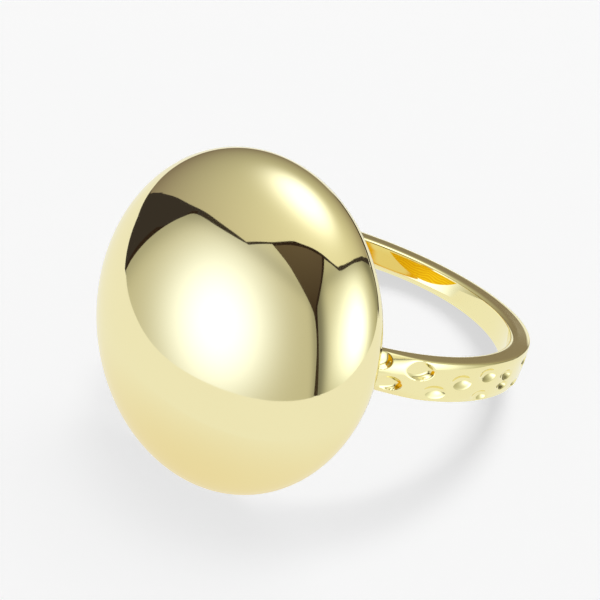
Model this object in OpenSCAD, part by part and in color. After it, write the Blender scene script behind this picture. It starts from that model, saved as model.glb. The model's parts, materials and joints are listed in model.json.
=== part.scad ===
// A domed cocktail ring that lies on its side, on the lower edge of the dome and the back of the band.
// The ring is built about the finger's axis, with the dome towards -X, and is then tilted to its rest.

/* [Finger hole] */
// Diameter of the finger hole
finger_d = 17; // [15:0.5:20]

/* [Band] */
// Thickness of the band's wall
band_wall = 1.1; // [0.9:0.1:1.5]
// Width of the band at its widest place, beside the dome
band_w_side = 2.1; // [1.8:0.1:3]
// Width of the band at the back of the finger
band_w_back = 1.4; // [1:0.1:1.6]
// Distance of that widest place from the finger's axis, towards the dome
band_widest = 3.5; // [0:0.5:6]

/* [Dome] */
// Length of the dome along the finger
dome_len = 17; // [14:0.5:20]
// Width of the dome across the finger
dome_wid = 16.1; // [13:0.1:18]
// Rise of the dome's front above its widest line
dome_rise = 3.8; // [2.8:0.1:5]
// Distance of the flat back behind the widest line
dome_edge = 0.8; // [0.5:0.1:1]
// Depth to which the flat back is let into the band
dome_seat = 0.3; // [0.2:0.1:0.8]

/* [Dents] */
// Depth of each dent
dent_depth = 0.2; // [0.15:0.05:0.3]

/* [Rest] */
// Depth of the two tiny flats, worn where the ring touches the surface
rest_wear = 0.04; // [0.02:0.01:0.08]

/* [Hidden] */
$fn = 96;
// Sides of the large edge arcs, of which the band keeps only a few degrees
edge_fn = 1440;

finger_r = finger_d / 2;
band_r = finger_r + band_wall;
half_len = dome_len / 2;
half_wid = dome_wid / 2;
dome_x = band_r - dome_seat + dome_edge;

// Side view of the band: both edges are arcs of one large radius
band_taper = (band_w_side - band_w_back) / 2;
band_run = band_r + band_widest;
edge_arc_r = (band_run * band_run + band_taper * band_taper) / (2 * band_taper);

// Rest: the line that touches the dome's outline and the lower back edge of the band
back_x = dome_x + band_r;
back_z = -band_w_back / 2;
reach = norm([back_x / dome_rise, back_z / half_len]);
touch_angle = atan2(back_z / half_len, back_x / dome_rise) - acos(1 / reach);
on_curve = dome_rise * cos(touch_angle) < dome_edge;
touch_x = on_curve ? dome_rise * cos(touch_angle) : dome_edge;
touch_z = on_curve ? half_len * sin(touch_angle) : -half_len * sqrt(1 - pow(dome_edge / dome_rise, 2));
tilt = atan2(back_z - touch_z, back_x - touch_x);
lift = (touch_x - dome_x) * sin(tilt) - touch_z * cos(tilt) - rest_wear;
front_x = -dome_x * cos(tilt) - norm([dome_rise * cos(tilt), half_len * sin(tilt)]);
rear_x = band_r * cos(tilt) + band_w_back / 2 * sin(tilt);
middle_x = (front_x + rear_x) / 2;

// Columns: angle from the back of the finger, height as a share of half the band's width, length, width
DENTS = [
    [138.5,  0.72, 1.2, 0.85],
    [132.8, -0.34, 1.35, 0.7],
    [124.8,  0.57, 1.5, 0.85],
    [118.0, -0.50, 1.4, 0.7],
    [109.2,  0.05, 1.4, 0.75],
    [ 99.4, -0.66, 1.3, 0.65],
    [ 98.6,  0.38, 1.4, 0.7],
    [ 89.0,  0.16, 1.2, 0.6],
    [ 86.5, -0.46, 1.1, 0.5],
    [ 76.0, -0.70, 1.2, 0.6],
    [ 75.0,  0.60, 1.2, 0.6]
];
// The same run of dents goes on round the back, turned upside down
dent_shift = 72;
dent_last = 14;
// One dent sits in the middle of the back
BACK_DENT = [0, 0, 1.2, 0.6];

// Half the band's width at an angle from the back of the finger
function half_width(angle) =
    let (x = band_r * cos(angle) + band_widest)
    band_w_side / 2 - edge_arc_r + sqrt(edge_arc_r * edge_arc_r - x * x);

module dome() {
    size = dome_len + dome_wid;
    intersection() {
        translate([-dome_x, 0, 0])
            scale([dome_rise, half_wid, half_len]) rotate([0, -90, 0]) sphere(r = 1);
        translate([-dome_x + dome_edge - size, -size / 2, -size / 2]) cube(size);
    }
}

module band_blank() {
    tall = band_w_side + 1;
    arc_z = band_w_side / 2 - edge_arc_r;
    intersection() {
        translate([0, 0, -tall / 2]) cylinder(r = band_r, h = tall);
        translate([-band_widest, band_r + 1, arc_z])
            rotate([90, 0, 0]) cylinder(r = edge_arc_r, h = 2 * band_r + 2, $fn = edge_fn);
        translate([-band_widest, band_r + 1, -arc_z])
            rotate([90, 0, 0]) cylinder(r = edge_arc_r, h = 2 * band_r + 2, $fn = edge_fn);
    }
}

module finger_hole() {
    tall = dome_len + 2;
    translate([0, 0, -tall / 2]) cylinder(r = finger_r, h = tall);
}

// A round-ended rod, sunk into the outer wall so that it leaves an oval dent of this length and width
module dent(angle, share, length, width) {
    rod_r = (width * width / 4 + dent_depth * dent_depth) / (2 * dent_depth);
    half_run = (length - width) / 2;
    rotate([0, 0, angle])
        translate([band_r - dent_depth + rod_r, 0, share * half_width(angle)])
            rotate([90, 0, 0]) {
                cylinder(r = rod_r, h = 2 * half_run, center = true);
                for (end = [-1, 1])
                    translate([0, 0, end * half_run]) sphere(r = rod_r);
            }
}

// A dent narrows with the band
module placed_dent(row, angle, turn) {
    narrow = half_width(angle) / (band_w_side / 2);
    dent(angle, turn * row[1], row[2], row[3] * narrow);
}

module dents() {
    for (row = DENTS)
        for (side = [-1, 1]) {
            placed_dent(row, side * row[0], 1);
            if (row[0] - dent_shift > dent_last)
                placed_dent(row, side * (row[0] - dent_shift), -1);
        }
    placed_dent(BACK_DENT, 0, 1);
}

// The whole ring about the finger's axis
module ring_metal() {
    difference() {
        union() {
            dome();
            difference() {
                band_blank();
                dents();
            }
        }
        finger_hole();
    }
}

module ring() {
    below = 4 * band_r;
    color("#e8d48c")
        difference() {
            translate([-middle_x, 0, lift]) rotate([0, tilt, 0]) ring_metal();
            translate([-below / 2, -below / 2, -below]) cube(below);
        }
}

ring();
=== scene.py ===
# %% [markdown]
# A domed cocktail ring in polished pale gold
#
# The real ring is one soldered piece: a large smooth oval dome on a narrow band whose outer wall
# is marked with small oval dents. It lies on its side, on the lower edge of the dome and the back
# of the band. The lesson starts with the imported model, which gives the true size and place.

# %% Load the model
import json
import math
import bmesh
import bpy
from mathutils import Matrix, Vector
from mathutils.geometry import interpolate_bezier


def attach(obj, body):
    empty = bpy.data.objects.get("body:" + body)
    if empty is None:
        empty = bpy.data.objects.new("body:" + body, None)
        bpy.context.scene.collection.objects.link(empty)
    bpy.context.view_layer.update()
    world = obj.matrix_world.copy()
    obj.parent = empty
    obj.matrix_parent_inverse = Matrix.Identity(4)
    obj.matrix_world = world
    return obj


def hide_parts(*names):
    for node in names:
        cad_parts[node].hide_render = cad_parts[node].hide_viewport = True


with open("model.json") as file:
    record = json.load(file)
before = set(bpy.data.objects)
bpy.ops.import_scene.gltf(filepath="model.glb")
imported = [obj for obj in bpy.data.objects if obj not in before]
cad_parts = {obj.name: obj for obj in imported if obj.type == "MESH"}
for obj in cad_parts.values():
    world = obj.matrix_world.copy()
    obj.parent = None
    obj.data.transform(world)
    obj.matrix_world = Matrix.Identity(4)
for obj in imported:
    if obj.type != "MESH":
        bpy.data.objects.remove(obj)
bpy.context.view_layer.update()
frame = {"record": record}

MM = 0.001


# %% [markdown]
# Both pieces are shaped about the finger's axis, which is the easy way to think of a ring, with
# the dome towards -X. The record says where the finger hole really is and how it leans, so the
# finished pieces are turned and moved there once, at the end. Sizes are written in millimetres.

# %% The finger hole and the band's wall
finger = frame["record"]["mounts"][0]
finger_centre = Vector(finger["pos_m"])
finger_lean = math.atan2(finger["axis"][0], finger["axis"][2])
finger_r = finger["dims"]["r_mm"]
band_wall = 1.1
band_r = finger_r + band_wall
print("the finger's axis leans", round(math.degrees(finger_lean), 2), "degrees")

# %% [markdown]
# The dome
#
# The dome is a cushion, higher in the middle and turning tightly at its rim, with a flat back
# soldered to the band. A lathe can't cut it, because it is oval, and a subdivided box would leave
# ripples that a mirror polish shows. A fine UV sphere, squashed along three axes, has exact even
# curves. Its pole points away from the finger, and the back is cut off and filled flat.

# %% Dome: an oval cushion
dome_rise = 3.8
dome_half_wid = 8.05
dome_half_len = 8.5
dome_edge = 0.8
SAME_POINT = 1e-7


def clear_selection():
    """Blender's tools act on all that is selected, so each new piece starts with nothing selected."""
    if bpy.context.object and bpy.context.object.mode != "OBJECT":
        bpy.ops.object.mode_set(mode="OBJECT")
    bpy.ops.object.select_all(action="DESELECT")


def cut(place, normal):
    """In edit mode: cuts the piece with a plane, drops what lies on the normal's side, and closes it."""
    bpy.ops.mesh.select_mode(type="VERT")
    bpy.ops.mesh.select_all(action="SELECT")
    bpy.ops.mesh.bisect(plane_co=place, plane_no=normal, clear_outer=True, threshold=SAME_POINT)
    bpy.ops.mesh.select_all(action="DESELECT")
    bpy.ops.mesh.select_non_manifold()
    bpy.ops.mesh.fill_holes(sides=0)


clear_selection()
bpy.ops.mesh.primitive_uv_sphere_add(
    segments=256, ring_count=128, radius=MM, rotation=(0, -math.pi / 2, 0))
dome = bpy.context.object
dome.name = "dome"
bpy.ops.object.transform_apply(location=True, rotation=True, scale=True)
bpy.ops.object.mode_set(mode="EDIT")
bpy.ops.mesh.select_all(action="SELECT")
bpy.ops.transform.resize(value=(dome_rise, dome_half_wid, dome_half_len))
cut((dome_edge * MM, 0, 0), (1, 0, 0))
bpy.ops.object.mode_set(mode="OBJECT")
print("dome faces", len(dome.data.polygons))

# %% [markdown]
# A polisher breaks the sharp edge round the flat back, so it gets a small round bevel. To find
# that edge in code, the flat face is picked by its place, and the selection is turned into its
# outline. The same helper picks vertices and edges later on.

# %% Dome: the broken edge
broken_edge = 0.12
TINY = 0.0001


def pick(kind, test):
    """In edit mode: selects each vertex, edge or face whose middle, in millimetres, passes the test."""
    bpy.ops.mesh.select_mode(type=kind)
    bpy.ops.mesh.select_all(action="DESELECT")
    shape = bmesh.from_edit_mesh(bpy.context.object.data)
    count = 0
    for item in {"VERT": shape.verts, "EDGE": shape.edges, "FACE": shape.faces}[kind]:
        corners = [item] if kind == "VERT" else item.verts
        middle = sum((corner.co for corner in corners), Vector()) / len(corners)
        if test(middle / MM):
            item.select_set(True)
            count += 1
    shape.select_flush_mode()
    bmesh.update_edit_mesh(bpy.context.object.data)
    return count


bpy.ops.object.mode_set(mode="EDIT")
flat_faces = pick("FACE", lambda place: place.x > dome_edge - TINY)
bpy.ops.mesh.region_to_loop()
bpy.ops.mesh.bevel(offset=broken_edge * MM, segments=4, affect="EDGES")
bpy.ops.object.mode_set(mode="OBJECT")
print("flat faces of the back", flat_faces, "and faces with the bevel", len(dome.data.polygons))

# %% [markdown]
# The cushion moves out to its seat, a little way into the band, and is then brought to its rest:
# turned and moved to the real finger hole, and cut at the surface it lies on, because the real
# ring has a tiny worn flat there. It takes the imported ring's place on the model's one body.

# %% Dome: to its seat and its rest
dome_seat = 0.3
dome_x = band_r - dome_seat + dome_edge


def place_on_finger(piece):
    """Turns and moves a piece from the finger's axis to its rest, and cuts it at the surface."""
    clear_selection()
    piece.select_set(True)
    bpy.context.view_layer.objects.active = piece
    piece.rotation_euler = (0, finger_lean, 0)
    piece.location = finger_centre
    bpy.ops.object.transform_apply(location=True, rotation=True, scale=True)
    bpy.ops.object.mode_set(mode="EDIT")
    cut((0, 0, 0), (0, 0, -1))
    bpy.ops.object.mode_set(mode="OBJECT")
    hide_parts("ring")
    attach(piece, "root")


def report(piece):
    """Prints a piece's size, triangles, open edges and volume."""
    shape = bmesh.new()
    shape.from_mesh(piece.data)
    size = [round(side / MM, 2) for side in piece.dimensions]
    triangles = sum(len(face.verts) - 2 for face in shape.faces)
    open_edges = sum(1 for edge in shape.edges if not edge.is_manifold)
    volume = round(shape.calc_volume(signed=True) / MM ** 3, 1)
    print(piece.name, "mm", size, "triangles", triangles, "open edges", open_edges, "mm3", volume)
    shape.free()


bpy.ops.object.mode_set(mode="EDIT")
bpy.ops.mesh.select_all(action="SELECT")
bpy.ops.transform.translate(value=(-dome_x * MM, 0, 0))
bpy.ops.object.mode_set(mode="OBJECT")
place_on_finger(dome)
bpy.ops.object.shade_smooth_by_angle(angle=math.radians(30))
report(dome)

# %% [markdown]
# The band
#
# The band is flat inside and out, with soft corners, and the upper corner on the finger's side is
# rounded most. One section is drawn as a rectangle, and its corners are rounded with a vertex
# bevel. A curve with a bevel object would make a ring too, but with all its corners alike.

# %% Band: the section and its corners
band_half_side = 1.05
middle_r = (finger_r + band_r) / 2
upper_inner_corner = 0.22
lower_inner_corner = 0.08
outer_corner = 0.06
clear_selection()
bpy.ops.mesh.primitive_plane_add(size=MM, location=(middle_r * MM, 0, 0), rotation=(math.pi / 2, 0, 0))
band = bpy.context.object
band.name = "band"
band.scale = (band_r - finger_r, 2 * band_half_side, 1)
bpy.ops.object.transform_apply(location=True, rotation=True, scale=True)
bpy.ops.object.mode_set(mode="EDIT")
corners = [
    (upper_inner_corner, 7, lambda place: place.x < middle_r and place.z > 0),
    (lower_inner_corner, 4, lambda place: place.x < middle_r and place.z < -band_half_side + TINY),
    (outer_corner, 3, lambda place: place.x > band_r - TINY),
]
for size, steps, test in corners:
    pick("VERT", test)
    bpy.ops.mesh.bevel(offset=size * MM, segments=steps, affect="VERTICES")
bpy.ops.mesh.select_all(action="SELECT")
bpy.ops.mesh.delete(type="ONLY_FACE")
bpy.ops.object.mode_set(mode="OBJECT")
print("section points", len(band.data.vertices))

# %% [markdown]
# The dents will need many points across the outer wall, so the section's straight lines are
# subdivided now, while it is only a loop of edges: finely outside, and coarsely where it stays flat.

# %% Band: points along the section
outer_cuts = 43
flat_cuts = 3
bpy.ops.object.mode_set(mode="EDIT")
straight_lines = [
    (outer_cuts, lambda place: place.x > band_r - TINY),
    (flat_cuts, lambda place: place.x < finger_r + TINY),
    (flat_cuts, lambda place: abs(abs(place.z) - band_half_side) < TINY),
]
for cuts, test in straight_lines:
    pick("EDGE", test)
    bpy.ops.mesh.subdivide(number_cuts=cuts)
bpy.ops.object.mode_set(mode="OBJECT")
print("section points", len(band.data.vertices))

# %% [markdown]
# The section is turned round the finger's axis. The Screw modifier turns it as the Spin tool
# would, but more than a thousand steps take it no time. Such a fine ring can carry the dents as
# moved points, with no modifier left on it.

# %% Band: turned round the finger
turn_steps = 1200
turn = band.modifiers.new("turn", "SCREW")
turn.axis = "Z"
turn.angle = 2 * math.pi
turn.steps = turn.render_steps = turn_steps
turn.use_merge_vertices = True
turn.merge_threshold = SAME_POINT
bpy.ops.object.modifier_apply(modifier="turn")
bpy.ops.object.mode_set(mode="EDIT")
bpy.ops.mesh.select_all(action="SELECT")
bpy.ops.mesh.normals_make_consistent(inside=False)
bpy.ops.object.mode_set(mode="OBJECT")
print("band points", len(band.data.vertices))

# %% [markdown]
# The band is widest beside the dome and narrows to the back of the finger. In side view each edge
# is an arc of one very large radius. No single tool squeezes a ring that way, so each point is
# brought towards the middle plane by the share that the arc gives at its place.

# %% Band: narrower towards the back
band_half_back = 0.7
band_widest = 3.5
taper = band_half_side - band_half_back
run = band_r + band_widest
edge_arc_r = (run * run + taper * taper) / (2 * taper)


def half_width(angle):
    """Half of the band's width at an angle from the back of the finger."""
    from_widest = band_r * math.cos(angle) + band_widest
    return band_half_side - edge_arc_r + math.sqrt(edge_arc_r * edge_arc_r - from_widest * from_widest)


for point in band.data.vertices:
    point.co.z *= half_width(math.atan2(point.co.y, point.co.x)) / band_half_side
widest = half_width(math.acos(-band_widest / band_r))
print("half width, mm: at its widest", round(widest, 3), "and at the back", round(half_width(0), 3))

# %% [markdown]
# The dents look like small thumb marks in wax: oval, longer along the band, in two or three loose
# rows, and some cut into the edge. Each is written as its angle from the back of the finger, its
# height as a share of half the band's width, its length and its width. The other side of the ring
# mirrors them, and the same run of dents goes on round the back, turned upside down.

# %% Band: where the dents are
DENTS = [
    (137.3, 0.66, 1.3, 0.9),
    (132.7, -0.37, 1.4, 0.8),
    (124.3, 0.50, 1.55, 0.92),
    (117.5, -0.49, 1.45, 0.75),
    (108.7, 0.10, 1.4, 0.8),
    (98.7, -0.68, 1.3, 0.65),
    (98.0, 0.40, 1.4, 0.75),
    (87.4, 0.20, 1.25, 0.6),
    (87.8, -0.36, 1.1, 0.5),
    (76.5, -0.75, 1.2, 0.6),
    (72.0, 0.35, 1.2, 0.6),
]
BACK_DENT = (0.0, 0.0, 1.2, 0.6)
run_shift = 72
run_end = 14
marks = [BACK_DENT]
for angle, share, length, width in DENTS:
    for side in (-1, 1):
        marks.append((side * angle, share, length, width))
        if angle - run_shift > run_end:
            marks.append((side * (angle - run_shift), -share, length, width))
print("dents", len(marks))

# %% [markdown]
# Each dent is a shallow oval bowl that takes metal away, and its rim is blended so that the mirror
# finish runs over it softly. Near the dome the bowls have flatter floors, steeper sides and
# thinner rims than elsewhere. Every bowl is deeper towards the back of the finger and towards one
# edge, because a level bowl mirrors the studio too evenly. A displacement texture could press
# them too, but here each point's new place is worked out exactly.

# %% Band: the bowl of a dent
dent_depth = 0.18
steep_from = 120
STEEP = {"power": 4.5, "rim": 0.03, "depth": 1.15 * dent_depth, "lean": 0.8, "sag": 0.3}
SOFT = {"power": 2.3, "rim": 0.045, "depth": 1.3 * dent_depth, "lean": 0.3, "sag": -0.4}
least_share = 0.25
out_of_reach = 0.3


def bring_in(point, share):
    """Moves a point straight towards the finger's axis, to this share of its distance."""
    point.co.x *= share
    point.co.y *= share


def press(point, mark):
    """Brings a point in to the bowl of one dent, where the bowl lies deeper than the wall."""
    angle, share, length, width = mark
    kind = STEEP if abs(angle) > steep_from else SOFT
    turned = math.atan2(point.co.y, point.co.x) - math.radians(angle)
    turned = (turned + math.pi) % (2 * math.pi) - math.pi
    half = half_width(math.radians(angle))
    along = turned * band_r / (length / 2)
    across = (point.co.z / MM - share * half) / (width / 2 * half / band_half_side)
    toward_back = max(-1.0, min(1.0, along if angle < 0 else -along))
    downward = max(-1.0, min(1.0, -across))
    uneven = max(least_share, 1 + kind["lean"] * toward_back + kind["sag"] * downward)
    bowl = band_r - kind["depth"] * uneven * (1 - math.hypot(along, across) ** kind["power"])
    radius = math.hypot(point.co.x, point.co.y) / MM
    if bowl - radius < out_of_reach:
        blended = (radius + bowl - math.sqrt((radius - bowl) ** 2 + kind["rim"] ** 2)) / 2
        bring_in(point, blended / radius)


print("steep dents", sum(1 for mark in marks if abs(mark[0]) > steep_from), "of", len(marks))

# %% [markdown]
# Trying every dent on every point would be slow. The points of the outer wall are sorted by whole
# degrees round the ring, and a dent visits only the degrees that it reaches.

# %% Band: pressing the dents
wall_skin = outer_corner + 0.01
columns = {degree: [] for degree in range(360)}
for point in band.data.vertices:
    if point.co.xy.length > (band_r - wall_skin) * MM:
        degree = round(math.degrees(math.atan2(point.co.y, point.co.x)))
        columns[degree % 360].append(point)
for mark in marks:
    reach = math.ceil(math.degrees(mark[2] / band_r)) + 1
    for step in range(-reach, reach + 1):
        for point in columns[(round(mark[0]) + step) % 360]:
            press(point, mark)
lowest = min(point.co.xy.length for column in columns.values() for point in column)
print("the deepest dent is", round(band_r - lowest / MM, 2), "mm deep")

# %% [markdown]
# The outer wall isn't quite flat. Polishing has rolled it over towards both edges, which is why a
# bright line follows the upper edge in the picture. Points of the wall's outer half come in by the
# fourth power of their height, so the middle stays as it is. Next to the dome, where the polishing
# wheel can't reach in squarely, the wall also comes in by the square of its height.

# %% Band: the rolled edges
crown_side = 0.14
crown_back = 0.05
crown_from, crown_to = 60, 110
roll_at_dome = 0.3
roll_from, roll_to = 120, 138


def ease(value, start, stop):
    """Rises softly from none at the start to one at the stop."""
    share = min(1.0, max(0.0, (value - start) / (stop - start)))
    return share * share * (3 - 2 * share)


for point in band.data.vertices:
    radius = point.co.xy.length / MM
    angle = math.atan2(point.co.y, point.co.x)
    from_back = abs(math.degrees(angle))
    outer = max(0.0, (radius - middle_r) / (band_r - middle_r))
    height = point.co.z / MM / half_width(angle)
    crown = crown_back + (crown_side - crown_back) * ease(from_back, crown_from, crown_to)
    roll = roll_at_dome * ease(from_back, roll_from, roll_to)
    bring_in(point, 1 - outer * (crown * height ** 4 + roll * height * height) / radius)
print("the edges roll by", crown_back, "mm at the back,", crown_side, "mm at the sides and",
      round(crown_side + roll_at_dome, 2), "mm at the dome")

# %% [markdown]
# The band is ready, and goes to its rest as the dome did. It is shaded smooth, so that its round
# corners mirror without facets, and only an edge sharper than 40 degrees stays hard, such as the
# edge of the worn flat.

# %% Band: to its place
place_on_finger(band)
bpy.ops.object.shade_smooth_by_angle(angle=math.radians(40))
report(band)

# %% [markdown]
# The metal
#
# The plating is a pale yellow gold with a mirror polish. A perfect mirror looks false, so three
# quiet marks are built as node groups that both materials use. A group is a small machine with
# named inputs and outputs: it is built once, and each material sets its own values. By hand, nodes
# are dropped in and wired up with the mouse. Here each node is written with its settings and its
# inputs in one place: an input is a plain value or the output of another node.

# %% Helpers for nodes
COLOUR = "NodeSocketColor"
NUMBER = "NodeSocketFloat"


def new_group(title, inputs, outputs):
    """A new node group with its named inputs, as (name, kind, value), and outputs, as (name, kind)."""
    group = bpy.data.node_groups.new(title, "ShaderNodeTree")
    for name, kind, value in inputs:
        socket = group.interface.new_socket(name=name, in_out="INPUT", socket_type=kind)
        socket.default_value = value
    for name, kind in outputs:
        group.interface.new_socket(name=name, in_out="OUTPUT", socket_type=kind)
    start = group.nodes.new("NodeGroupInput")
    end = group.nodes.new("NodeGroupOutput")
    print("group", group.name)
    return group, start, end


def fill(node, inputs):
    """Gives input sockets, by name or number, their plain values or their links."""
    for name, value in inputs.items():
        if isinstance(value, bpy.types.NodeSocket):
            node.id_data.links.new(value, node.inputs[name])
        else:
            node.inputs[name].default_value = value


def add(tree, kind, inputs=None, **settings):
    """A new node with its inputs and its own settings."""
    node = tree.nodes.new(kind)
    for key, value in settings.items():
        setattr(node, key, value)
    fill(node, inputs or {})
    return node


print("node groups so far:", len(bpy.data.node_groups))

# %% [markdown]
# The first mark is a very slow change of tone in the plating: soft clouds blend two golds that are
# almost the same. A picture could be painted on instead, but noise on Object coordinates needs no
# unwrapping.

# %% Group: plating tone
PALE_GOLD = (0.93, 0.84, 0.48, 1)
DEEPER_GOLD = (0.9, 0.8, 0.42, 1)


def clouds(group, start, detail):
    """Soft noise on Object coordinates, at the scale that the group is given."""
    where = add(group, "ShaderNodeTexCoord").outputs["Object"]
    size = start.outputs["Patch Size"]
    noise = add(group, "ShaderNodeTexNoise", {"Vector": where, "Scale": size, "Detail": detail})
    return noise.outputs["Fac"]


tone, start, end = new_group(
    "plating tone",
    [("Colour", COLOUR, PALE_GOLD), ("Deeper Colour", COLOUR, DEEPER_GOLD), ("Patch Size", NUMBER, 250.0)],
    [("Colour", COLOUR)])
blend = add(tone, "ShaderNodeMix", {
    "Factor": clouds(tone, start, detail=2),
    "A": start.outputs["Colour"],
    "B": start.outputs["Deeper Colour"],
}, data_type="RGBA")
fill(end, {"Colour": blend.outputs["Result"]})

# %% [markdown]
# The second mark is a haze: fingers and cloths leave patches where the polish is a little duller.
# The same kind of clouds, in smaller patches, moves the roughness between a clear and a hazy value.

# %% Group: polish haze
haze, start, end = new_group(
    "polish haze",
    [("Clear", NUMBER, 0.04), ("Hazy", NUMBER, 0.08), ("Patch Size", NUMBER, 400.0)],
    [("Roughness", NUMBER)])
spread = add(haze, "ShaderNodeMapRange", {
    "Value": clouds(haze, start, detail=4),
    "From Min": 0.35,
    "From Max": 0.75,
    "To Min": start.outputs["Clear"],
    "To Max": start.outputs["Hazy"],
})
fill(end, {"Roughness": spread.outputs["Result"]})

# %% [markdown]
# The third mark is the fine hairlines that a polishing cloth leaves. Real scratches would need far
# too many points, so noise is stretched twenty times along one direction and used as a faint bump.

# %% Group: hairlines
lines, start, end = new_group(
    "polish hairlines", [("Fineness", NUMBER, 3000.0)], [("Height", NUMBER)])
stretch = add(lines, "ShaderNodeMapping", {
    "Vector": add(lines, "ShaderNodeTexCoord").outputs["Object"],
    "Rotation": (0.3, 0.2, 0.5),
    "Scale": (0.05, 1, 1),
})
grain = add(lines, "ShaderNodeTexNoise", {
    "Vector": stretch.outputs["Vector"],
    "Scale": start.outputs["Fineness"],
    "Detail": 1,
})
fill(end, {"Height": grain.outputs["Fac"]})

# %% [markdown]
# The dome and the band share one metal. The band was finished by hand in its dents, so its haze
# and hairlines are a little stronger than on the dome, which is as clean as a mirror. Gold has no
# clear coat: its colour is the colour of its mirror, so it goes into Base Color at full Metallic.

# %% Material: polished gold
scratch_depth = 0.002


def gold(title, pale, deep, clear, hazy, scratch):
    """Polished plate: two close golds, two close roughnesses and the strength of the hairlines."""
    metal = bpy.data.materials.new(title)
    metal.use_nodes = True
    tree = metal.node_tree
    two_golds = {"Colour": (*pale, 1), "Deeper Colour": (*deep, 1)}
    colour = add(tree, "ShaderNodeGroup", two_golds, node_tree=tone)
    dull = add(tree, "ShaderNodeGroup", {"Clear": clear, "Hazy": hazy}, node_tree=haze)
    hairs = add(tree, "ShaderNodeGroup", node_tree=lines)
    bump = add(tree, "ShaderNodeBump", {
        "Strength": scratch,
        "Distance": scratch_depth * MM,
        "Height": hairs.outputs["Height"],
    })
    fill(tree.nodes["Principled BSDF"], {
        "Metallic": 1.0,
        "Base Color": colour.outputs["Colour"],
        "Roughness": dull.outputs["Roughness"],
        "Normal": bump.outputs["Normal"],
    })
    return metal


dome_gold = gold(
    "mirror gold of the dome", pale=(0.94, 0.855, 0.49), deep=(0.93, 0.84, 0.475),
    clear=0.03, hazy=0.05, scratch=0.01)
band_gold = gold(
    "polished gold of the band", pale=(0.95, 0.865, 0.46), deep=(0.94, 0.85, 0.445),
    clear=0.05, hazy=0.08, scratch=0.015)
for piece, metal in ((dome, dome_gold), (band, band_gold)):
    piece.data.materials.clear()
    piece.data.materials.append(metal)
    print(piece.name, "wears", metal.name)

# %% [markdown]
# Inside the back of the band a lens of deep orange gold with fine ripples is a painted reflection,
# and the dents next to the dome mirror the same painted orange from the dome's flat back. Such
# places are simplest to describe on the finger's own axes, where the ring was shaped, so a Mapping
# node turns Object coordinates back to them. Math nodes do the rest.

# %% Helpers for places on the ring
def maths(tree, operation, first, second=None):
    """A Math node on numbers or outputs of other nodes."""
    inputs = {0: first} if second is None else {0: first, 1: second}
    return add(tree, "ShaderNodeMath", inputs, operation=operation).outputs["Value"]


def times(tree, first, second):
    return maths(tree, "MULTIPLY", first, second)


def plus(tree, first, second):
    return maths(tree, "ADD", first, second)


def finger_axes(tree):
    """The place on the finger's own axes, in millimetres."""
    turned = add(tree, "ShaderNodeMapping", {
        "Vector": add(tree, "ShaderNodeTexCoord").outputs["Object"],
        "Location": finger_centre,
        "Rotation": (0, finger_lean, 0),
        "Scale": (MM, MM, MM),
    }, vector_type="TEXTURE")
    return turned.outputs["Vector"]


print("the finger's axes start at, mm:", [round(side / MM, 2) for side in finger_centre])

# %% [markdown]
# One group turns a mask into the painted orange reflection, so both materials can use it: rippled
# orange, rougher than the polish, inside the mask, and the polished colour and roughness outside
# it. The ripples are bands that follow one another along the finger, bent by noise, as they lie in
# the picture.

# %% Group: painted orange reflection
# Colours and roughness of the painted orange reflection.
orange_reflection_roughness = 0.35
ORANGE = (0.84, 0.42, 0.004, 1)
LIGHT_ORANGE = (0.95, 0.62, 0.012, 1)
orange, start, end = new_group(
    "unpolished plating",
    [("Mask", NUMBER, 1.0), ("Polished Colour", COLOUR, PALE_GOLD), ("Polished Roughness", NUMBER, 0.05)],
    [("Colour", COLOUR), ("Roughness", NUMBER)])
ripple = add(orange, "ShaderNodeTexWave", {
    "Vector": finger_axes(orange),
    "Scale": 2.3,
    "Distortion": 12.0,
    "Detail": 1.5,
    "Detail Scale": 0.5,
}, bands_direction="Z")
two_oranges = {"Factor": ripple.outputs["Fac"], "A": ORANGE, "B": LIGHT_ORANGE}
shades = add(orange, "ShaderNodeMix", two_oranges, data_type="RGBA")
either = add(orange, "ShaderNodeMix", {
    "Factor": start.outputs["Mask"],
    "A": start.outputs["Polished Colour"],
    "B": shades.outputs["Result"],
}, data_type="RGBA")
dullness = times(orange, start.outputs["Mask"], orange_reflection_roughness)
rougher = maths(orange, "MAXIMUM", start.outputs["Polished Roughness"], dullness)
fill(end, {"Colour": either.outputs["Result"], "Roughness": rougher})

# %% [markdown]
# The lens inside the band is bounded by three surfaces: the finger side of the wall, a level line
# above, and a bent line below that rises to both ends. As a mask it needs no painting by hand, and
# its edge stays sharp at any distance, as in the picture.

# %% Material: the lens inside the band
lens_middle = 0.096
lens_half = 0.26
lens_low = -0.26
lens_rise = 0.76
lens_top = 0.52
inner_skin = 0.3


def finger_place(tree):
    """The three parts of the place on the finger's own axes."""
    parts = add(tree, "ShaderNodeSeparateXYZ", {"Vector": finger_axes(tree)})
    return [parts.outputs[axis] for axis in "XYZ"]


def distance(tree, first, second):
    """How far a place is from the middle, from its two parts."""
    squares = plus(tree, times(tree, first, first), times(tree, second, second))
    return maths(tree, "SQRT", squares)


def paint_orange_reflection(metal, mask):
    """Puts the painted orange reflection where the mask is one, between the polished finish and the shader.
    """
    shader = metal.node_tree.nodes["Principled BSDF"]
    finish = add(metal.node_tree, "ShaderNodeGroup", {
        "Mask": mask,
        "Polished Colour": shader.inputs["Base Color"].links[0].from_socket,
        "Polished Roughness": shader.inputs["Roughness"].links[0].from_socket,
    }, node_tree=orange)
    fill(shader, {"Base Color": finish.outputs["Colour"], "Roughness": finish.outputs["Roughness"]})
    print(metal.name, "has a painted orange reflection")


# The painted reflection of deep orange gold goes inside the lens on the band's inner wall.
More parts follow.
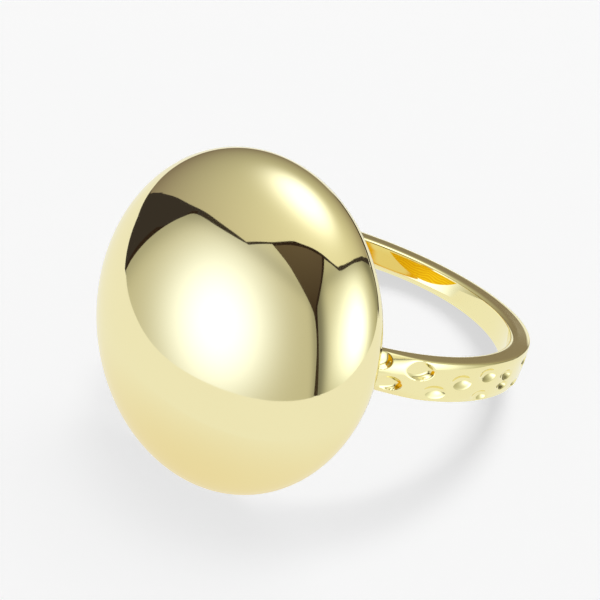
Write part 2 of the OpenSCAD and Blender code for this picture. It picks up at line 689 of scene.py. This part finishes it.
tree = band_gold.node_tree
x, y, z = finger_place(tree)
round_back = maths(tree, "SUBTRACT", maths(tree, "ARCTAN2", y, x), lens_middle)
from_lens_middle = maths(tree, "DIVIDE", round_back, lens_half)
lens_floor = plus(tree, times(tree, times(tree, from_lens_middle, from_lens_middle), lens_rise), lens_low)
above_floor = maths(tree, "GREATER_THAN", z, lens_floor)
below_top = maths(tree, "LESS_THAN", z, lens_top)
finger_side = maths(tree, "LESS_THAN", distance(tree, x, y), finger_r + inner_skin)
paint_orange_reflection(band_gold, times(tree, above_floor, times(tree, finger_side, below_top)))

# %% [markdown]
# On the dome's flat back the outer part, round a polished oval, is painted the same orange, so
# that the dents next to the dome show it as a painted reflection. Its orange fades in softly.

# %% Material: the rim of the dome's back
oval_half_wid = 5.4
oval_half_len = 7.9
fade_from, fade_to = 0.86, 1.06
back_skin = 0.02
tree = dome_gold.node_tree
x, y, z = finger_place(tree)
from_oval_middle = distance(
    tree, maths(tree, "DIVIDE", y, oval_half_wid), maths(tree, "DIVIDE", z, oval_half_len))
fade = add(tree, "ShaderNodeMapRange", {
    "Value": from_oval_middle,
    "From Min": fade_from,
    "From Max": fade_to,
}, interpolation_type="SMOOTHSTEP")
flat_back = maths(tree, "GREATER_THAN", x, -(dome_x - dome_edge) - back_skin)
# The outer part of the dome's back is painted orange, for the dents to show as a painted reflection.
paint_orange_reflection(dome_gold, times(tree, fade.outputs["Result"], flat_back))

# %% [markdown]
# The camera
#
# The picture is taken with a long lens, about 38 degrees above the table, from the front left.
# The camera leans a few degrees, as one held by hand does. It is placed before the studio, because
# the studio's directions are counted from it.

# %% Camera
camera_place = (-65.17, -47.94, 67.54)
camera_turn = (52.385, -3.305, -50.321)
camera = bpy.data.objects.new("camera", bpy.data.cameras.new("camera"))
bpy.context.scene.collection.objects.link(camera)
camera.data.lens = 120
camera.data.sensor_width = 36
camera.data.clip_start = 0.005
camera.location = Vector(camera_place) * MM
camera.rotation_euler = [math.radians(angle) for angle in camera_turn]
bpy.context.scene.camera = camera
print("camera", [round(side / MM, 1) for side in camera.location])

# %% [markdown]
# The studio
#
# A mirror shows its surroundings, so the studio is half of the picture. The ring lies on white,
# in a tent of big lit sheets: one on each side of the camera, and one overhead that runs down to
# a dim back, with dark gaps between them that draw the thin lines on the dome. The sheets hang
# far away and only the metal sees them, so that they never stand in the view. A direction is given
# as degrees round from the camera, to the right, and degrees above the table.

# %% Directions in the studio
FAR = 2.0
ahead = camera.matrix_basis.to_3x3() @ Vector((0, 0, -1))
ahead = Vector((ahead.x, ahead.y, 0)).normalized()
rightwards = Vector((ahead.y, -ahead.x, 0))


def toward(round_degrees, up_degrees):
    """The direction that lies so many degrees round from the camera and above the table."""
    turned, raised = math.radians(round_degrees), math.radians(up_degrees)
    level = rightwards * math.sin(turned) - ahead * math.cos(turned)
    return level * math.cos(raised) + Vector((0, 0, math.sin(raised)))


print("behind the object is", [round(part, 3) for part in toward(180, 0)])

# %% [markdown]
# Everything that the metal mirrors is a material that only shines. The ring counts as black for
# the light that it would throw on the table, because the picture's table is a neutral grey: the
# shine is switched off for rays that come to it by way of the table.

# %% Materials that shine
def not_by_way_of_table(tree):
    """One for what is seen in the metal, none for light that the metal throws on the table."""
    path = add(tree, "ShaderNodeLightPath")
    return maths(tree, "LESS_THAN", path.outputs["Diffuse Depth"], 0.5)


def shining(title):
    """A new material that only shines, with its Emission node."""
    light = bpy.data.materials.new(title)
    light.use_nodes = True
    tree = light.node_tree
    tree.nodes.clear()
    shine = add(tree, "ShaderNodeEmission", {"Strength": not_by_way_of_table(tree)})
    add(tree, "ShaderNodeOutputMaterial", {"Surface": shine.outputs["Emission"]})
    return light, shine


def plain_light(title, colour):
    """An even light of one colour."""
    light, shine = shining(title)
    fill(shine, {"Color": (*colour, 1)})
    print("light", title)
    return light


line_light = plain_light("dark line", (0.030, 0.018, 0.014))

# %% [markdown]
# A photographer's sheet glows unevenly, with a soft hot spot from the lamp behind it and darker
# folds. Both are worked out from the direction in which a point of the sheet is seen from the
# ring. How far a direction lies from a plane is a dot product with the plane's normal, and a
# spot is what lies near two such planes at once.

# %% Hot spots and folds
def along(tree, look, direction):
    """How far the seen direction points along another."""
    node = add(tree, "ShaderNodeVectorMath", {0: look, 1: direction}, operation="DOT_PRODUCT")
    return node.outputs["Value"]


def apart(tree, look, normal, degrees):
    """How far the seen direction lies from a plane, squared, where one stands for so many degrees."""
    share = along(tree, look, normal / math.sin(math.radians(degrees)))
    return maths(tree, "POWER", maths(tree, "ABSOLUTE", share), 2.0)


def fall(tree, value):
    """One where the value is none, and softly less where it grows."""
    return maths(tree, "EXPONENT", times(tree, value, -1.0))


def hot_spot(tree, look, at, peak, wide, tall, power):
    """A soft oval of light, so many degrees wide and tall."""
    centre = toward(*at)
    level = centre.cross(Vector((0, 0, 1))).normalized()
    upright = level.cross(centre)
    from_centre = plus(tree, apart(tree, look, level, wide), apart(tree, look, upright, tall))
    oval = fall(tree, maths(tree, "POWER", from_centre, power))
    this_side = maths(tree, "GREATER_THAN", along(tree, look, centre), 0.0)
    return times(tree, times(tree, oval, this_side), peak)


def fold(tree, look, first, second, degrees, depth):
    """A darker soft line of cloth from one direction to another."""
    normal = toward(*first).cross(toward(*second)).normalized()
    dark = times(tree, fall(tree, apart(tree, look, normal, degrees)), -depth)
    return plus(tree, dark, 1.0)


left_spot = {"at": (-58, 7), "peak": 1.75, "wide": 22, "tall": 21.5, "power": 1.1}
right_spot = {"at": (47, 17), "peak": 2.0, "wide": 32, "tall": 24, "power": 1.2}
left_folds = [
    ((-3.5, 3), (-10, 27.5), 3.0, 0.35),
    ((-105.5, -5), (-94, 23), 6.0, 0.28),
    ((-92, 25.5), (-62, 35.5), 4.0, 0.2),
]
right_folds = [
    ((1.5, -6.5), (-7, 32), 7.0, 0.65),
    ((119, -12), (118, 10), 12.0, 0.45),
    ((35, 51), (85, 39), 5.0, 0.25),
]
print("folds on the left", len(left_folds), "and on the right", len(right_folds))

# %% [markdown]
# The whole glow is a plain colour, a lean that makes one end brighter, the hot spot and the folds.
# An area lamp with a picture on it could do the same, but image textures aren't used here.

# %% The glow of a sheet
DARK = (0, 0, 0)


def glow(title, plain, across=DARK, away=DARK, up=DARK, spot=None, spot_colour=DARK, folds=()):
    """A sheet's light: its plain colour, what it gains to the right, back and upwards, spot and folds."""
    light, shine = shining(title)
    tree = light.node_tree
    where = add(tree, "ShaderNodeTexCoord").outputs["Object"]
    look = add(tree, "ShaderNodeVectorMath", {0: where}, operation="NORMALIZE").outputs["Vector"]
    bright = hot_spot(tree, look, **spot) if spot else None
    shades = [fold(tree, look, *line) for line in folds]
    colour = add(tree, "ShaderNodeCombineColor")
    for channel, name in enumerate(("Red", "Green", "Blue")):
        lean = rightwards * across[channel] + ahead * away[channel] + Vector((0, 0, up[channel]))
        level = maths(tree, "MAXIMUM", plus(tree, along(tree, look, lean), plain[channel]), 0.0)
        if spot:
            level = plus(tree, level, times(tree, bright, spot_colour[channel]))
        for shade in shades:
            level = times(tree, level, shade)
        fill(colour, {name: level})
    fill(shine, {"Color": colour.outputs["Color"]})
    print("light", title)
    return light


left_light = glow(
    "left lamp", plain=(0.57, 0.56, 0.48), spot=left_spot, spot_colour=(0.56, 0.65, 1.0), folds=left_folds)
right_light = glow(
    "right lamp", plain=(0.5, 0.49, 0.375), spot=right_spot, spot_colour=(0.7, 0.78, 1.0), folds=right_folds)

# %% [markdown]
# A sheet has the outline that its picture in the dome asks for. It is drawn by a few directions,
# joined by straight lines or by smooth curves, and made from a disc with as many corners: each
# corner is moved out to its direction. A curve passes through all of its directions, because each
# is a Bezier knot, and it is smooth there, because the handles lie along the line between the
# two neighbours.

# %% Outlines of the sheets beside the camera
def curve(through, parts=4):
    """Points of a smooth curve through a few directions, without the first."""
    knots = [Vector(corner) for corner in (through[0], *through, through[-1])]
    points = []
    for before, start, stop, after in zip(knots, knots[1:], knots[2:], knots[3:]):
        leaving = start + (stop - before) / 6
        arriving = stop - (after - start) / 6
        points += interpolate_bezier(start, leaving, arriving, stop, parts + 1)[1:]
    return points


def outline(start, *stretches):
    """Corners of a sheet: each stretch is a straight line to one corner or a curve through several."""
    corners = [start]
    for stretch in stretches:
        corners += curve([corners[-1], *stretch]) if len(stretch) > 1 else stretch
    return corners


left_floor = [(-95, -11.5), (-76, -13), (-46, -10.5), (-1.5, -7)]
left_front = [(-3.5, 2.5), (-7.5, 22), (-13.5, 31.5), (-33, 41.5), (-50.5, 44.5)]
left_end = [(-77.5, 30.5), (-92, 25), (-96.5, 18.5), (-103, 1.5), (-105.5, -6)]
left_corners = outline((-106, -9), left_floor, left_front, [(-61.5, 35.5)], left_end)
right_floor = [(30, -5.5), (58, -5), (95, -9.5), (119, -13), (128, -10.5), (130, -5.5)]
right_end = [(113, 15.5), (104, 25), (85, 39), (62.5, 47.5), (35, 51)]
right_top = [(22.5, 55), (9, 57.5)]
right_front = [(-0.5, 45), (-6.3, 34.5), (-7, 29), (-3.5, 13), (-1, 2.5)]
right_corners = outline((1.5, -6.5), right_floor, right_end, right_top, right_front)
print("corners on the left", len(left_corners), "and on the right", len(right_corners))

# %% [markdown]
# A sheet is made flat and then bent to its directions, with a hub in the middle, as an umbrella
# has. It is switched off for every kind of ray but the mirror's.

# %% The two sheets beside the camera
def only_in_metal(thing):
    """Stage that the camera and the table don't see: it lights nothing but the polished metal."""
    thing.visible_camera = False
    thing.visible_diffuse = False
    thing.visible_shadow = False
    thing.visible_transmission = False
    thing.visible_volume_scatter = False


def sheet(name, corners, light, away=FAR):
    """A lit cloth at this distance, with the outline given by its corners' directions."""
    clear_selection()
    bpy.ops.mesh.primitive_circle_add(vertices=len(corners), radius=away, fill_type="TRIFAN")
    cloth = bpy.context.object
    cloth.name = name
    places = [toward(*corner) * away for corner in corners]
    rim = [vertex for vertex in cloth.data.vertices if vertex.co.length > away / 2]
    hub = [vertex for vertex in cloth.data.vertices if vertex.co.length < away / 2]
    for vertex, place in zip(rim, places):
        vertex.co = place
    for vertex in hub:
        vertex.co = sum(places, Vector()) / len(places)
    cloth.data.materials.append(light)
    only_in_metal(cloth)
    print("sheet", name, "with", len(corners), "corners")


sheet("left_sheet", left_corners, left_light)
sheet("right_sheet", right_corners, right_light)

# %% [markdown]
# The overhead sheet runs down behind the ring into the dim end of the room. Both parts share one
# light, which grows warmer and darker towards the back and has its hot spot almost straight above.

# %% The sheet overhead and the back
top_light = glow(
    "overhead lamp", plain=(0.472, 0.422, 0.34), across=(0.076, 0.076, 0.041),
    away=(-0.213, -0.202, -0.169), up=(0.292, 0.339, 0.30), spot_colour=(0.7, 0.75, 1.0),
    spot={"at": (164, 79.6), "peak": 1.55, "wide": 23.5, "tall": 24.5, "power": 1.5})
over_front = [(-39, 54), (-28.5, 57.5), (-10, 60.3), (10.5, 59.3), (35.5, 53)]
over_right = [(46, 52.5), (68, 48), (91, 38), (111, 21.5), (119.5, 11)]
over_back = [[(150, 11)], [(180, 11)], [(210, 10)], [(238, 9)]]
over_left = [(248.5, 17), (259, 23), (271, 29), (286.5, 33.5)]
over_corners = outline((-63.5, 35.5), [(-53, 44)], over_front, over_right, *over_back, over_left)
sheet("overhead_sheet", over_corners, top_light)
back_floor = [(142, -4), (165, -6), (195, -5), (223, -2.5), (230, 2), (238, 9.5)]
back_top = [[(210, 10.5)], [(180, 11.5)], [(150, 11.5)]]
sheet("back_sheet", outline((119.5, 11.5), [(131, -2.5)], back_floor, *back_top), top_light)

# %% [markdown]
# Between the sheets lies the dark of the room, brown towards the camera. The wider gaps are dark
# cloths that hang a little further away, so that the sheets' edges cut them off cleanly.

# %% The dark gaps
BEHIND = 1.25 * FAR
FURTHER = 1.3 * FAR
BEHIND_ALL = 1.5 * FAR
brown_light = glow(
    "brown gap", plain=(-0.055, -0.05, -0.04), across=(-0.06, -0.05, -0.03), up=(0.2, 0.16, 0.125))
brown_gap = [(-53, 44), (-28, 58.5), (-14, 60.7), (9, 59.5), (-2, 36), (-3, 24), (-9, 24), (-30, 37)]
dark_strip = [(-12, 28), (0, 28), (4, -6.7), (-5, -6.7)]
dark_side = [(-131.5, 0), (-120, -4), (-107.5, -9.5), (-104, -9.5), (-98, 5),
             (-90, 22), (-90, 29), (-106, 24), (-122, 14), (-136, 6)]
sheet("brown_gap", brown_gap, brown_light, BEHIND_ALL)
sheet("dark_strip", dark_strip, plain_light("dark strip", (0.05, 0.036, 0.026)), FURTHER)
sheet("dark_side", dark_side, plain_light("dark side", (0.042, 0.035, 0.038)), FURTHER)

# %% [markdown]
# Where two sheets almost meet, the gap is a thin dark line that keeps its width for a long way. A
# ribbon of a given width is easier to steer than two outlines: a grid one face wide, whose points
# are moved to both sides of a smooth path.

# %% The dark lines
def ribbon(name, degrees, path):
    """A dark strip of so many degrees in width along a smooth path of directions."""
    way = [toward(*corner) for corner in [path[0], *curve(path)]]
    clear_selection()
    bpy.ops.mesh.primitive_grid_add(x_subdivisions=len(way) - 1, y_subdivisions=1, size=2)
    cloth = bpy.context.object
    cloth.name = name
    rows = {}
    for side in (-1, 1):
        row = [vertex for vertex in cloth.data.vertices if vertex.co.y * side > 0]
        rows[side] = sorted(row, key=lambda vertex: vertex.co.x)
    for side, row in rows.items():
        for step, vertex in enumerate(row):
            onward = way[min(step + 1, len(way) - 1)] - way[max(step - 1, 0)]
            aside = way[step].cross(onward).normalized() * math.tan(math.radians(degrees / 2))
            vertex.co = (way[step] + side * aside) * BEHIND
    cloth.data.materials.append(line_light)
    only_in_metal(cloth)
    print("ribbon", name, degrees, "degrees wide")


ribbon("dark_line_top", 2.9, [(-53, 43.7), (-39, 53.2), (-20, 59), (1, 60), (10.5, 58.5)])
ribbon("dark_line_side", 2.4, [(7.5, 58.5), (-1, 44.8), (-6.7, 34.3), (-7.8, 29), (-6, 22)])
ribbon("dark_line_left", 2.4, [(-106, -9.3), (-105.5, -3.5), (-102, 7), (-97, 19), (-92.5, 25)])
ribbon("dark_line_rim", 6.5, [(160, -8.5), (141, -7), (133, -8), (127, -12), (118, -14)])

# %% [markdown]
# The table
#
# The ring lies on backlit glass under white paper, as photographers use for a ring: most of the
# paper's light comes through it, so the shadows stay faint. A very weak noise gives the paper the
# slight cloudiness of its pulp.

# %% The paper as the camera sees it
paper_glow = 0.664
paper = bpy.data.materials.new("white table")
paper.use_nodes = True
tree = paper.node_tree
where = add(tree, "ShaderNodeTexCoord").outputs["Object"]
fibre = add(tree, "ShaderNodeTexNoise", {"Vector": where, "Scale": 60})
shades = add(tree, "ShaderNodeMix", {
    "Factor": fibre.outputs["Fac"],
    "A": (0.90, 0.90, 0.90, 1),
    "B": (0.895, 0.895, 0.895, 1),
}, data_type="RGBA")
shader = tree.nodes["Principled BSDF"]
fill(shader, {
    "Base Color": shades.outputs["Result"],
    "Roughness": 1.0,
    "Specular IOR Level": 0.0,
    "Emission Color": (1, 1, 1, 1),
    "Emission Strength": paper_glow,
})
print("paper glows at", paper_glow)

# %% [markdown]
# The metal sees the paper as an even glow instead, warm round the place where the dome touches,
# because gold throws warm light on what it lies on. The kind of ray chooses between the two.

# %% The paper as the metal sees it
FAR_TABLE = (0.91, 0.92, 0.93)
WARM_TABLE = (0.87, 0.795, 0.65)
dome_touches = (-9.1, 0, 0)
warm_reach = 17


def by_ray(tree, kind, usual, special):
    """Uses one shader for this kind of ray, and another for all the rest."""
    this_kind = add(tree, "ShaderNodeLightPath").outputs[kind]
    return add(tree, "ShaderNodeMixShader", {0: this_kind, 1: usual, 2: special}).outputs["Shader"]


def paper_in_metal(tree):
    """An even glow, warm round the place where the dome touches."""
    away = add(tree, "ShaderNodeVectorMath", {
        0: add(tree, "ShaderNodeTexCoord").outputs["Object"],
        1: Vector(dome_touches) * MM,
    }, operation="DISTANCE")
    ramp = add(tree, "ShaderNodeMapRange", {
        "Value": away.outputs["Value"],
        "From Max": warm_reach * MM,
    }, interpolation_type="SMOOTHSTEP")
    colour = add(tree, "ShaderNodeMix", {
        "Factor": ramp.outputs["Result"],
        "A": (*WARM_TABLE, 1),
        "B": (*FAR_TABLE, 1),
    }, data_type="RGBA").outputs["Result"]
    shine = add(tree, "ShaderNodeEmission", {"Color": colour, "Strength": not_by_way_of_table(tree)})
    return shine.outputs["Emission"]


surface = by_ray(tree, "Is Glossy Ray", shader.outputs["BSDF"], paper_in_metal(tree))
fill(tree.nodes["Material Output"], {"Surface": surface})
print("the metal's paper is warm within", warm_reach, "mm of where the dome touches")

# %% [markdown]
# The table looks endless. A small round piece of it lies under the ring, and carries its shadows.
# The metal sees that piece, and beyond it only a plain white disc that lies deeper than the lowest
# cloth. The wide sheet of paper round the small piece is for the camera alone. It is a ring of
# faces, extruded outwards from the same circle, so that the two never overlap.

# %% The table
near_r = 22
wide_times = 100
far_depth = 0.9
far_r = 16.0
clear_selection()
bpy.ops.mesh.primitive_circle_add(vertices=128, radius=near_r * MM, fill_type="NGON")
near_table = bpy.context.object
near_table.name = "near_table"
near_table.data.materials.append(paper)

clear_selection()
bpy.ops.mesh.primitive_circle_add(vertices=128, radius=near_r * MM, fill_type="NOTHING")
wide_table = bpy.context.object
wide_table.name = "wide_table"
bpy.ops.object.mode_set(mode="EDIT")
bpy.ops.mesh.select_all(action="SELECT")
bpy.ops.mesh.extrude_edges_move()
bpy.ops.transform.resize(value=(wide_times, wide_times, wide_times))
bpy.ops.mesh.select_all(action="SELECT")
bpy.ops.mesh.normals_make_consistent(inside=False)
bpy.ops.object.mode_set(mode="OBJECT")
wide_table.data.materials.append(paper)
wide_table.visible_glossy = False

clear_selection()
bpy.ops.mesh.primitive_circle_add(
    vertices=96, radius=far_r, location=(0, 0, -far_depth), fill_type="NGON")
far_table = bpy.context.object
far_table.name = "far_table"
far_table.data.materials.append(plain_light("far table", FAR_TABLE))
only_in_metal(far_table)
print("table laid, its middle", 2 * near_r, "mm across")

# %% [markdown]
# Behind everything there is a sky. The camera sees it as a pale grey, the metal as the dark of the
# room, and on the table it shines only faintly.

# %% Sky
sky_strength = 0.04


def background(tree, colour, strength=1.0):
    """An even sky of one colour."""
    node = add(tree, "ShaderNodeBackground", {"Color": (*colour, 1), "Strength": strength})
    return node.outputs["Background"]


world = bpy.data.worlds.new("studio")
bpy.context.scene.world = world
world.use_nodes = True
tree = world.node_tree
tree.nodes.clear()
on_table = background(tree, (1, 1, 1), sky_strength)
in_view = background(tree, (0.93, 0.93, 0.93))
in_metal = background(tree, (0.045, 0.036, 0.034))
sky = by_ray(tree, "Is Glossy Ray", by_ray(tree, "Is Camera Ray", on_table, in_view), in_metal)
add(tree, "ShaderNodeOutputWorld", {"Surface": sky})
print("sky ready")

# %% [markdown]
# Two large soft lamps high behind the ring throw the faint shadows that fall towards the viewer.
# The picture has a clear shadow under the band and hardly any under the dome, so the stronger lamp
# is stopped by the band alone, and the weaker one by everything. The metal doesn't mirror the
# lamps, because it has the sheets for that.

# %% Lamps
def lamp(name, round_degrees, up_degrees, size, watts, blocker=None):
    """A round soft lamp in one direction, which may be stopped by one piece alone."""
    bulb = bpy.data.lights.new(name, "AREA")
    bulb.shape = "DISK"
    bulb.size = size
    bulb.energy = watts
    thing = bpy.data.objects.new(name, bulb)
    bpy.context.scene.collection.objects.link(thing)
    direction = toward(round_degrees, up_degrees)
    thing.location = direction * FAR
    thing.rotation_euler = direction.to_track_quat("Z", "Y").to_euler()
    thing.visible_glossy = False
    thing.visible_camera = False
    if blocker:
        only = bpy.data.collections.new(name + " is stopped by")
        only.objects.link(blocker)
        thing.light_linking.blocker_collection = only
    print("lamp", name, watts, "W")


lamp("lamp_for_band", 148, 52, size=0.9, watts=12.6, blocker=band)
lamp("lamp_for_all", 134, 52, size=1.3, watts=1.4)
bpy.context.scene.view_settings.view_transform = "Standard"
bpy.context.scene.view_settings.look = "None"
